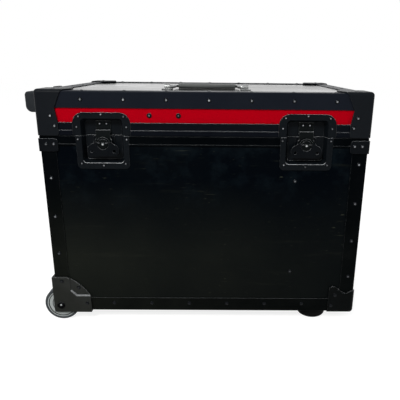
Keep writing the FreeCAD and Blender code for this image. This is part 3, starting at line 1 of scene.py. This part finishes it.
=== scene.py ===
import bmesh
import bpy
import json
import math
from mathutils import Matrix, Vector


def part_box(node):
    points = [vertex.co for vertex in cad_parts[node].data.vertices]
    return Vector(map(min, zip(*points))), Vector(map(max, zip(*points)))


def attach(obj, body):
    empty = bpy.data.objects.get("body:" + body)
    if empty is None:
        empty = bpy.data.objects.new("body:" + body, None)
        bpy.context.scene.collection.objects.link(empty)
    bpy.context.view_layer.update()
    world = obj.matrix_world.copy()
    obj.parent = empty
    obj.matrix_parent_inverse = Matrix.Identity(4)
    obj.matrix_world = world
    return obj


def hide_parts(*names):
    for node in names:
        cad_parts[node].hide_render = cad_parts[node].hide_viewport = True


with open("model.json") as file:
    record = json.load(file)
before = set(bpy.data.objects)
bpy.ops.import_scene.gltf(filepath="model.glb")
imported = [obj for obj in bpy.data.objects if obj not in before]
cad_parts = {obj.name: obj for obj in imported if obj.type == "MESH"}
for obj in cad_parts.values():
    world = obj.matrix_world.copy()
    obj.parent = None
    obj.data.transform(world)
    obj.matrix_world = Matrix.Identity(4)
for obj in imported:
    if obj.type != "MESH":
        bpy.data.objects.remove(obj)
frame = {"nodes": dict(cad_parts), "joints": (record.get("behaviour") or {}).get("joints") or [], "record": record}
nodes = frame["nodes"]
joints = {joint["name"]: joint for joint in frame["joints"]}
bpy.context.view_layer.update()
scene = bpy.context.scene
scene.view_settings.view_transform = "Standard"

# Camera, in metres and degrees: right of the case middle, in front of its face and above its underside
camera_place = (0.0303, 0.9072, 0.5404)
camera_turn = (73.089, -0.588, -0.481)
camera_lens = 40.332           # in millimetres, as is the sensor
camera_sensor = 36.0
camera_shift = -0.0606         # the photograph is a cut from a wider frame

# Levels on the case, over the extrusions
extrusion = 0.002
case_left, case_front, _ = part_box("base_front_panel")[0]
case_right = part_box("base_front_panel")[1][0]
case_front -= extrusion
case_middle = (case_left + case_right) / 2
case_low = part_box("base_bottom_panel")[0][2] - extrusion


# Material helpers
def colour(red, green, blue):
    """Linear colour of an sRGB colour in 0 to 255."""
    def linear(value):
        value /= 255
        return value / 12.92 if value <= 0.04045 else ((value + 0.055) / 1.055) ** 2.4
    return (linear(red), linear(green), linear(blue), 1.0)


finishes = {}


class Finish:
    """One procedural material, kept in finishes: a node tree with a few short ways of adding to it."""

    def __init__(self, name, base, roughness, metallic=0.0, specular=0.5):
        finishes[name] = bpy.data.materials.new(name)
        finishes[name].use_nodes = True
        self.tree = finishes[name].node_tree
        self.shader = self.tree.nodes["Principled BSDF"]
        self.put("Base Color", base)
        self.put("Roughness", roughness)
        self.put("Metallic", metallic)
        self.put("Specular IOR Level", specular)
        self.base = base
        self.normal = None

    def put(self, socket, value):
        self.shader.inputs[socket].default_value = value

    def add(self, kind, **inputs):
        node = self.tree.nodes.new(kind)
        for key, value in inputs.items():
            self.join(value, node.inputs[key.replace("_", " ")])
        return node

    def join(self, value, socket):
        if isinstance(value, bpy.types.NodeSocket):
            self.tree.links.new(value, socket)
        else:
            socket.default_value = value

    def place(self, stretch=(1, 1, 1)):
        coordinates = self.add("ShaderNodeTexCoord").outputs["Object"]
        return self.add("ShaderNodeMapping", Vector=coordinates, Scale=stretch).outputs["Vector"]

    def level(self, axis):
        """Place on the case along X, Y or Z."""
        return self.add("ShaderNodeSeparateXYZ", Vector=self.place()).outputs[axis]

    def from_axis(self, point):
        """Distance from an axis along Y through a point."""
        away = self.add("ShaderNodeVectorMath")
        away.operation = "DISTANCE"
        self.join(self.place((1, 0, 1)), away.inputs[0])
        self.join((point[0], 0, point[2]), away.inputs[1])
        return away.outputs["Value"]

    def noise(self, scale, detail=4.0, roughness=0.55, stretch=(1, 1, 1)):
        node = self.add("ShaderNodeTexNoise", Vector=self.place(stretch), Scale=scale, Detail=detail,
                        Roughness=roughness)
        return node.outputs["Fac"]

    def span(self, value, low, high, start=0.0, end=1.0):
        """Maps low to high onto start to end, clamped."""
        node = self.add("ShaderNodeMapRange", Value=value)
        node.inputs["From Min"].default_value = low
        node.inputs["From Max"].default_value = high
        node.inputs["To Min"].default_value = start
        node.inputs["To Max"].default_value = end
        return node.outputs["Result"]

    def times(self, first, second):
        node = self.add("ShaderNodeMath")
        node.operation = "MULTIPLY"
        self.join(first, node.inputs[0])
        self.join(second, node.inputs[1])
        return node.outputs["Value"]

    def blend(self, amount, first, second):
        node = self.add("ShaderNodeMix")
        node.data_type = "RGBA"
        self.join(amount, node.inputs["Factor"])
        self.join(first, node.inputs[6])
        self.join(second, node.inputs[7])
        return node.outputs[2]

    def tint(self, amount, other):
        """Mixes another colour into the base colour."""
        self.base = self.blend(amount, self.base, other)
        self.join(self.base, self.shader.inputs["Base Color"])

    def rough(self, value, low, high):
        self.join(self.span(value, *noise_bulk, low, high), self.shader.inputs["Roughness"])

    def tint_low_left(self, cloud, dust, amount):
        """Tints towards the given colour, more low down and on the wheel side."""
        low = self.span(self.level("Z"), *low_left_levels, 0.0, amount)
        near = self.span(self.level("X"), *low_left_sides, 0.3, 1.0)
        drift = self.span(cloud, *noise_bulk, 0.8, 1.2)
        self.tint(self.times(self.times(low, near), drift), dust)

    def round_edges(self, radius):
        """Softens sharp edges in the shading and gives back where they are."""
        bevel = self.add("ShaderNodeBevel", Radius=radius)
        bevel.samples = 6
        self.normal = bevel.outputs["Normal"]
        self.join(self.normal, self.shader.inputs["Normal"])
        flat = self.add("ShaderNodeNewGeometry").outputs["Normal"]
        dot = self.add("ShaderNodeVectorMath")
        dot.operation = "DOT_PRODUCT"
        self.join(self.normal, dot.inputs[0])
        self.join(flat, dot.inputs[1])
        return self.span(dot.outputs["Value"], *edge_turn)

    def own_normal(self, normal):
        """Components of a normal in the object's own frame, which turns with the piece."""
        turn = self.add("ShaderNodeVectorTransform", Vector=normal)
        turn.vector_type = "NORMAL"
        turn.convert_from = "WORLD"
        turn.convert_to = "OBJECT"
        return self.add("ShaderNodeSeparateXYZ", Vector=turn.outputs["Vector"]).outputs

    def steepest(self, parts):
        """Largest share of a normal along one axis, 1 where it points along that axis."""
        total = 0.0
        for part in parts:
            size = self.add("ShaderNodeMath")
            size.operation = "ABSOLUTE"
            self.join(part, size.inputs[0])
            larger = self.add("ShaderNodeMath")
            larger.operation = "MAXIMUM"
            self.join(size.outputs["Value"], larger.inputs[0])
            self.join(total, larger.inputs[1])
            total = larger.outputs["Value"]
        return total

    def bump(self, height, strength, distance):
        node = self.add("ShaderNodeBump", Height=height, Strength=strength, Distance=distance)
        if self.normal is not None:
            self.join(self.normal, node.inputs["Normal"])
        self.normal = node.outputs["Normal"]
        self.join(self.normal, self.shader.inputs["Normal"])


# Colours of wear and soil, and of painted highlights and painted shade
dust_grey = colour(57, 60, 51)
soil_and_highlight_grey = colour(120, 124, 128)
highlight_grey = colour(176, 180, 184)
smear_blue = colour(44, 58, 66)
lip_black = colour(3, 3, 4)    # lower lips, which no light reaches
# painted shade in the grooves of the wheel hub
groove_shade = colour(34, 36, 37)

# Places of wear and soil, of painted highlights and of painted shade, in metres
soft_edge = 0.0006             # radius of an edge in the shading
highlight_edge = 0.0009             # the same where a painted highlight lies along it
grain_depth = 0.0002
low_left_levels = (0.33, 0.16)     # where the tint low down begins and where it is full
low_left_sides = (0.30, -0.25)     # heights where a rivet's painted highlight is faint and where it is full
smear_levels = (0.24, 0.36)
glint_levels = (0.06, 0.42)  # rivets that are rarely and often touched
glint_radius = 0.0022             # radius of the painted highlights on the latch hub buttons and the axle head
wheel_middle = joints["front_wheel_spin"]["pos_m"]
axle_glint = (wheel_middle[0] + 0.0012, wheel_middle[1], wheel_middle[2] + 0.0026)
hub_rings = ((0.0285, 0.0303), (0.0213, 0.0218))
ring_fade = 0.0004

# Where a mask begins and where it is full
noise_bulk = (0.3, 0.7)        # most of a noise lies between
edge_turn = (0.99, 0.86)       # face normal along the rounded normal
edge_rise = (0.12, 0.5)        # upward part of an edge normal
slant_out = (0.5, 0.65)        # outward and upward parts of a slant's normal
slant_up = (0.2, 0.4)
crown_flat = (0.93, 0.995)     # normal along an axis on a rivet head

# Noises, each with its scale, detail, roughness and stretch
panel_cloud = (5.0, 5.0)
panel_smear = (24.0, 5.0, 0.65)
panel_scuff = (60.0, 6.0, 0.7, (0.09, 0.09, 1.0))
panel_wear = (11.0, 2.0)
panel_scratch = (420.0, 2.0, 0.5, (0.05, 0.05, 1.0))
panel_fleck = (170.0, 2.0, 0.5, (0.35, 0.35, 1.0))
panel_swell = (14.0, 2.0)
metal_cloud = (18.0, 5.0, 0.6)
metal_speck = (160.0, 4.0, 0.65)
drawn = (900.0, 3.0, 0.6, (0.02, 1.0, 1.0))
fine = (500.0, 3.0, 0.6)
rivet_patch = (70.0, 3.0)
rivet_grain = (600.0, 3.0)
dull_cloud = (40.0, 5.0, 0.6)
moulded_cloud = (30.0, 5.0, 0.6)
plywood_grain = (26.0, 6.0, 0.65, (1.0, 0.12, 1.0))
plywood_patch = (6.0, 3.0)
foam_pore = 420.0
foam_patch = 9.0


# Materials
def laminate(name, base, dust, specular, gloss, soil=0.05, low_left_tint=0.0):
    """Smooth panel laminate with rub marks and drifting gloss, and where asked a tint that grows towards the
    bottom and the wheel side.
    """
    finish = Finish(name, base, gloss, specular=specular)
    finish.round_edges(soft_edge)
    cloud = finish.noise(*panel_cloud)
    finish.tint(finish.span(cloud, 0.35, 0.75, 0.0, soil), dust)
    if low_left_tint:
        finish.tint_low_left(cloud, dust, low_left_tint)
        smear = finish.span(finish.noise(*panel_smear), 0.48, 0.75, 0.0, 0.12)
        finish.tint(finish.times(smear, finish.span(finish.level("Z"), *smear_levels)), smear_blue)
    scuff = finish.noise(*panel_scuff)
    finish.tint(finish.span(scuff, 0.60, 0.80, 0.0, 5 * soil), dust)
    worn = finish.span(finish.noise(*panel_wear), 0.46, 0.64, 0.15, 1.0)
    scratch = finish.noise(*panel_scratch)
    finish.tint(finish.times(worn, finish.span(scratch, 0.67, 0.75, 0.0, 14 * soil)), dust)
    fleck = finish.noise(*panel_fleck)
    finish.tint(finish.times(worn, finish.span(fleck, 0.68, 0.75, 0.0, 18 * soil)), dust)
    finish.rough(cloud, gloss - 0.06, gloss + 0.08)
    finish.bump(finish.noise(*panel_swell), 0.15, 0.001)


def coated_metal(name, base, roughness, grain, soil=0.008, painted_glint=0.7, slant=0.0, edge=highlight_edge, spot=None,
                 specular=0.035, low_left_tint=0.0):
    """Coated or anodised metal: fine grain and handling marks, with painted highlights on rounded edges and on
    slants that look up, and painted shade on lower lips.
    A spot is a point on an axis along Y, round which a highlight is painted."""
    finish = Finish(name, base, roughness, specular=specular)
    edges = finish.round_edges(edge)
    normal = finish.own_normal(finish.normal)
    upward = finish.times(edges, finish.span(normal["Z"], *edge_rise, 0.0, painted_glint))
    downward = finish.times(edges, finish.span(normal["Z"], *[-rise for rise in edge_rise]))
    cloud = finish.noise(*metal_cloud)
    speck = finish.noise(*metal_speck)
    finish.tint(finish.span(cloud, 0.4, 0.8, 0.0, soil), soil_and_highlight_grey)
    if low_left_tint:
        finish.tint_low_left(cloud, dust_grey, low_left_tint)
    # painted highlight along all rounded edges
    finish.tint(finish.times(edges, finish.span(speck, 0.35, 0.7, 0.0, 0.35)), soil_and_highlight_grey)
    # painted highlight on rounded edges that look up
    finish.tint(finish.times(upward, finish.span(speck, 0.3, 0.6, 0.55, 1.0)), highlight_grey)
    # painted shade on lower lips
    finish.tint(downward, lip_black)
    # painted highlight on slants that look up and out
    if slant:
        outward = finish.span(finish.steepest([normal["Y"]]), *slant_out)
        facing = finish.times(outward, finish.span(normal["Z"], *slant_up))
        finish.tint(finish.times(facing, finish.span(speck, 0.3, 0.6, 0.5 * slant, slant)), highlight_grey)
    # painted highlight round the spot
    if spot:
        finish.tint(finish.span(finish.from_axis(spot), glint_radius, 0.8 * glint_radius), highlight_grey)
    finish.rough(cloud, roughness - 0.08, roughness + 0.1)
    finish.bump(finish.noise(*grain), 0.12, grain_depth)


def rivet_metal(name, flank, crown, roughness):
    """Black rivet heads with paler metal painted on their flat crowns as a highlight, stronger higher up and most
    on the lid.
    """
    finish = Finish(name, flank, roughness, 1.0)
    finish.round_edges(soft_edge)
    # painted highlight: paler metal on the flat crowns
    crown_glint = finish.span(finish.steepest(finish.own_normal(finish.normal)), *crown_flat)
    patch = finish.noise(*rivet_patch)
    glint_height = finish.span(finish.level("Z"), *glint_levels, 0.04, 1.0)
    painted_glint = finish.times(finish.times(crown_glint, glint_height), finish.span(patch, 0.35, 0.65, 0.15, 1.0))
    finish.tint(painted_glint, crown)
    finish.rough(patch, roughness - 0.04, roughness + 0.1)
    finish.bump(finish.noise(*rivet_grain), 0.1, grain_depth)


def bare_metal(name, base, dull, roughness, scale=300.0, stretch=(1, 1, 1)):
    """Bare or plated metal with a fine drawn grain and dull patches."""
    finish = Finish(name, base, roughness, 1.0)
    finish.round_edges(soft_edge)
    cloud = finish.noise(*dull_cloud)
    finish.tint(finish.span(cloud, 0.4, 0.75, 0.0, 0.7), dull)
    finish.rough(cloud, roughness - 0.06, roughness + 0.12)
    finish.bump(finish.noise(scale, 3.0, 0.6, stretch), 0.1, grain_depth)


def moulded(name, base, pale, roughness, scale=700.0, strength=0.15, specular=0.2, edge=highlight_edge, rings=()):
    """Moulded plastic or rubber with a fine pebble, paler patches worn by rubbing and a painted highlight along
    rounded edges.
    Rings of painted shade lie round the wheel axis in the hub grooves, each with its inner and outer radius."""
    finish = Finish(name, base, roughness, specular=specular)
    edges = finish.round_edges(edge)
    cloud = finish.noise(*moulded_cloud)
    finish.tint(finish.span(cloud, 0.42, 0.78, 0.0, 0.6), pale)
    # painted highlight along rounded edges
    finish.tint(finish.times(edges, 0.4), pale)
    # painted shade in the hub grooves
    for inner, outer in rings:
        radius = finish.from_axis(wheel_middle)
        outside = finish.span(radius, inner - ring_fade, inner)
        inside = finish.span(radius, outer + ring_fade, outer)
        finish.tint(finish.times(finish.times(outside, inside), 0.9), groove_shade)
    finish.rough(cloud, roughness - 0.08, roughness + 0.1)
    finish.bump(finish.noise(scale, 3.0), strength, 0.0004)


def plywood(name):
    """Bare plywood with its grain along the board."""
    finish = Finish(name, colour(150, 112, 72), 0.55)
    finish.round_edges(soft_edge)
    grain = finish.noise(*plywood_grain)
    finish.tint(finish.span(grain, 0.4, 0.7), colour(108, 74, 42))
    finish.tint(finish.span(finish.noise(*plywood_patch), 0.55, 0.8, 0.0, 0.5), colour(176, 138, 94))
    finish.rough(grain, 0.45, 0.65)
    finish.bump(grain, 0.2, 0.0004)


def foam(name):
    """Open cell foam in a soft charcoal, with painted shade in its small pores."""
    finish = Finish(name, colour(44, 45, 48), 0.95, specular=0.15)
    pores = finish.add("ShaderNodeTexVoronoi", Vector=finish.place(), Scale=foam_pore).outputs["Distance"]
    # painted shade in the pores
    finish.tint(finish.span(pores, 0.35, 0.1), colour(18, 18, 20))
    finish.tint(finish.span(finish.noise(foam_patch), 0.45, 0.8, 0.0, 0.5), colour(60, 61, 63))
    finish.bump(pores, 0.6, 0.0012)
    finish.put("Sheen Weight", 0.2)


laminate("black_laminate", colour(1, 4, 9), dust_grey, 0.008, 0.26, 0.03, 0.21)
laminate("red_laminate", colour(164, 0, 18), colour(110, 0, 10), 0.01, 0.3)
coated_metal("black_extrusion", colour(2, 4, 6), 0.32, drawn, painted_glint=0.25, specular=0.006, low_left_tint=0.13)
coated_metal("black_steel", colour(7, 10, 14), 0.3, fine)
coated_metal("wheel_steel", colour(36, 38, 36), 0.36, fine, 0.06, slant=0.5)
bare_metal("zinc_steel", colour(132, 134, 134), colour(88, 90, 90), 0.34)
rivet_metal("rivet_steel", colour(20, 22, 24), colour(168, 171, 175), 0.2)
moulded("tyre", colour(50, 55, 60), colour(78, 82, 84), 0.6, 500.0, 0.2)
moulded("wheel_plastic", colour(176, 184, 186), colour(150, 156, 158), 0.4, rings=hub_rings)
moulded("rubber", colour(7, 8, 8), colour(24, 24, 24), 0.7, 400.0, 0.25, 0.05)
moulded("grip_plastic", colour(34, 37, 41), colour(50, 54, 57), 0.42, specular=0.05, edge=0.003)
moulded("black_plastic", colour(12, 12, 13), colour(34, 34, 35), 0.45)
bare_metal("tube_aluminium", colour(164, 166, 168), colour(150, 152, 154), 0.3, 700.0, (1, 1, 0.03))
plywood("plywood")
foam("foam")
laminate("polished_laminate", colour(6, 7, 8), dust_grey, 0.34, 0.15)
coated_metal("lid_extrusion", colour(18, 22, 30), 0.34, drawn, painted_glint=0.9, edge=0.0014)
coated_metal("cover_steel", colour(18, 21, 25), 0.34, fine, painted_glint=0.3)
bare_metal("dark_steel", colour(52, 53, 55), colour(30, 31, 33), 0.3)
coated_metal("axle_steel", colour(6, 7, 8), 0.2, fine, spot=axle_glint, specular=0.01)
coated_metal("dish_steel", colour(11, 15, 19), 0.3, fine, slant=0.9)
coated_metal("ball_steel", colour(2, 4, 4), 0.3, fine)
coated_metal("keeper_steel", colour(9, 13, 14), 0.3, fine, painted_glint=1.0, edge=0.0018)
coated_metal("left_hub", colour(5, 8, 9), 0.3, fine, spot=joints["left_latch_turn"]["pos_m"])
coated_metal("right_hub", colour(5, 8, 9), 0.3, fine, spot=joints["right_latch_turn"]["pos_m"])
coated_metal("rim_extrusion", colour(3, 6, 13), 0.32, drawn, painted_glint=0.9, edge=0.0012)
moulded("worn_grip", colour(76, 79, 79), colour(98, 101, 101), 0.4)

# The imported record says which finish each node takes, apart from these
own_finish = {
    "ball_corners": "ball_steel", "handle_grip": "worn_grip", "wheel_axles": "axle_steel",
    "latch_base_dishes": "dish_steel", "latch_lid_dishes": "dish_steel", "latch_keepers": "keeper_steel",
    "latch_left_hook": "keeper_steel", "latch_right_hook": "keeper_steel",
    "latch_left_hub": "left_hub", "latch_right_hub": "right_hub",
    "latch_left_pin": "dark_steel", "latch_right_pin": "dark_steel",
    "lid_rim_extrusions": "rim_extrusion", "lid_edge_extrusions": "lid_extrusion",
    "lid_top_panel": "polished_laminate", "lid_corner_covers": "cover_steel"}
for part in frame["record"]["subparts"]:
    finish = own_finish.get(part["node"], part["material_slot"])
    node = nodes[part["node"]]
    node.data.materials.clear()
    node.data.materials.append(finishes[finish])


# Foam boards
def new_piece(name, builder):
    mesh = bpy.data.meshes.new(name)
    builder.to_mesh(mesh)
    builder.free()
    piece = bpy.data.objects.new(name, mesh)
    scene.collection.objects.link(piece)
    return piece


foam_round = 0.004             # cut edge of the boards
foam_cell = 0.03               # spacing of the wavy surface
foam_wave = 0.0012             # depth of the waves
wave_x = (41, 1.3)             # turn per metre and start of the long waves
wave_y = (37, 0.4)
ripple = (90, -63)             # turn per metre of the slanted ripple, along X and Y
ripple_share = 0.6


def foam_board(name, node, body):
    """Cut foam with soft edges and a slightly wavy face, in the place of its CAD solid."""
    builder = bmesh.new()
    builder.from_mesh(nodes[node].data)
    bmesh.ops.remove_doubles(builder, verts=builder.verts, dist=1e-5)
    flat = math.radians(1)
    bmesh.ops.dissolve_limit(builder, angle_limit=flat, verts=builder.verts, edges=builder.edges)
    bmesh.ops.bevel(builder, geom=builder.edges, offset=foam_round, segments=3, profile=0.5, affect="EDGES")
    low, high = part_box(node)
    for axis in (0, 1):
        count = int((high[axis] - low[axis]) / foam_cell)
        for i in range(1, count):
            point = Vector((0, 0, 0))
            point[axis] = low[axis] + i * foam_cell
            normal = Vector((axis == 0, axis == 1, 0))
            bmesh.ops.bisect_plane(builder, geom=builder.verts[:] + builder.edges[:] + builder.faces[:],
                                   plane_co=point, plane_no=normal)
    middle = (low[2] + high[2]) / 2
    for vertex in builder.verts:
        x, y = vertex.co.x, vertex.co.y
        wave = math.sin(wave_x[0] * x + wave_x[1]) * math.sin(wave_y[0] * y + wave_y[1])
        wave += ripple_share * math.sin(ripple[0] * x + ripple[1] * y)
        inward = 1 if vertex.co.z < middle else -1
        vertex.co.z += inward * foam_wave * 0.5 * (1 + ripple_share + wave)
    for face in builder.faces:
        face.smooth = True
    board = new_piece(name, builder)
    board.data.materials.append(finishes["foam"])
    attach(board, body)
    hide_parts(node)


foam_board("floor_foam_boards", "floor_foam", "base")
foam_board("lid_foam_board", "lid_foam", "lid")


# World: white to the camera and in reflections, and a soft room light, stronger from the back
def light_path(tree):
    """1 for what the camera sees directly, in gloss or through glass."""
    path = tree.nodes.new("ShaderNodeLightPath")
    total = path.outputs["Is Camera Ray"]
    for kind in ("Is Glossy Ray", "Is Transmission Ray"):
        either = tree.nodes.new("ShaderNodeMath")
        either.operation = "MAXIMUM"
        tree.links.new(total, either.inputs[0])
        tree.links.new(path.outputs[kind], either.inputs[1])
        total = either.outputs["Value"]
    return total


room_front = 0.15
room_back = 0.9
room_turn = 0.6                # the room light rises between this far in front and behind
world = bpy.data.worlds.new("studio")
scene.world = world
world.use_nodes = True
tree = world.node_tree
direction = tree.nodes.new("ShaderNodeTexCoord").outputs["Generated"]
split = tree.nodes.new("ShaderNodeSeparateXYZ")
tree.links.new(direction, split.inputs["Vector"])
depth = tree.nodes.new("ShaderNodeMapRange")
depth.inputs["From Min"].default_value = -room_turn
depth.inputs["From Max"].default_value = room_turn
depth.inputs["To Min"].default_value = room_front
depth.inputs["To Max"].default_value = room_back
tree.links.new(split.outputs["Y"], depth.inputs["Value"])
room = tree.nodes["Background"]
room.inputs["Color"].default_value = (1, 1, 1, 1)
tree.links.new(depth.outputs["Result"], room.inputs["Strength"])
white = tree.nodes.new("ShaderNodeBackground")
white.inputs["Color"].default_value = (1, 1, 1, 1)
choice = tree.nodes.new("ShaderNodeMixShader")
tree.links.new(light_path(tree), choice.inputs["Fac"])
tree.links.new(room.outputs["Background"], choice.inputs[1])
tree.links.new(white.outputs["Background"], choice.inputs[2])
tree.links.new(choice.outputs["Shader"], tree.nodes["World Output"].inputs["Surface"])

# Floor: pale, and white where the camera sees it, except in the shadow of the case
floor_half = 12.0              # half width of the floor
floor_glow = 0.84
floor_catch = (0.3, 0.3, 0.3, 1.0)
floor_pale = (0.62, 0.60, 0.56, 1.0)
paint = bpy.data.materials.new("floor")
paint.use_nodes = True
tree = paint.node_tree
tree.nodes.remove(tree.nodes["Principled BSDF"])
glow = tree.nodes.new("ShaderNodeEmission")
glow.inputs["Strength"].default_value = floor_glow
catch = tree.nodes.new("ShaderNodeBsdfDiffuse")
catch.inputs["Color"].default_value = floor_catch
seen = tree.nodes.new("ShaderNodeAddShader")
tree.links.new(glow.outputs["Emission"], seen.inputs[0])
tree.links.new(catch.outputs["BSDF"], seen.inputs[1])
pale = tree.nodes.new("ShaderNodeBsdfDiffuse")
pale.inputs["Color"].default_value = floor_pale
choice = tree.nodes.new("ShaderNodeMixShader")
tree.links.new(light_path(tree), choice.inputs["Fac"])
tree.links.new(pale.outputs["BSDF"], choice.inputs[1])
tree.links.new(seen.outputs["Shader"], choice.inputs[2])
tree.links.new(choice.outputs["Shader"], tree.nodes["Material Output"].inputs["Surface"])
builder = bmesh.new()
bmesh.ops.create_grid(builder, x_segments=1, y_segments=1, size=floor_half)
floor = new_piece("floor", builder)
floor.data.materials.append(paint)


# Softboxes, each with its place, size, watts and tone
softboxes = {
    "key": ((-0.65, -1.8, 1.9), (0.8, 0.5), 44.0, (1.0, 0.98, 0.95)),
    "fill": ((1.7, -1.3, 1.4), (0.5, 0.8), 6.0, (0.9, 0.95, 1.0)),
    "back": ((0.3, 1.6, 1.9), (1.6, 0.6), 14.0, (1.0, 1.0, 1.0))}
aim = Vector((case_middle, 0.0, 0.27))
for name, (place, size, watts, tone) in softboxes.items():
    data = bpy.data.lights.new(name, "AREA")
    data.shape = "RECTANGLE"
    data.size, data.size_y = size
    data.energy = watts
    data.color = tone
    lamp = bpy.data.objects.new(name, data)
    lamp.location = place
    lamp.rotation_euler = (aim - Vector(place)).to_track_quat("-Z", "Y").to_euler()
    scene.collection.objects.link(lamp)

# Camera
camera_data = bpy.data.cameras.new("camera")
camera_data.lens = camera_lens
camera_data.sensor_width = camera_sensor
camera_data.shift_x = camera_shift
camera = bpy.data.objects.new("camera", camera_data)
right, away, high = camera_place
camera.location = (case_middle + right, case_front - away, case_low + high)
camera.rotation_euler = [math.radians(angle) for angle in camera_turn]
scene.collection.objects.link(camera)
scene.camera = camera
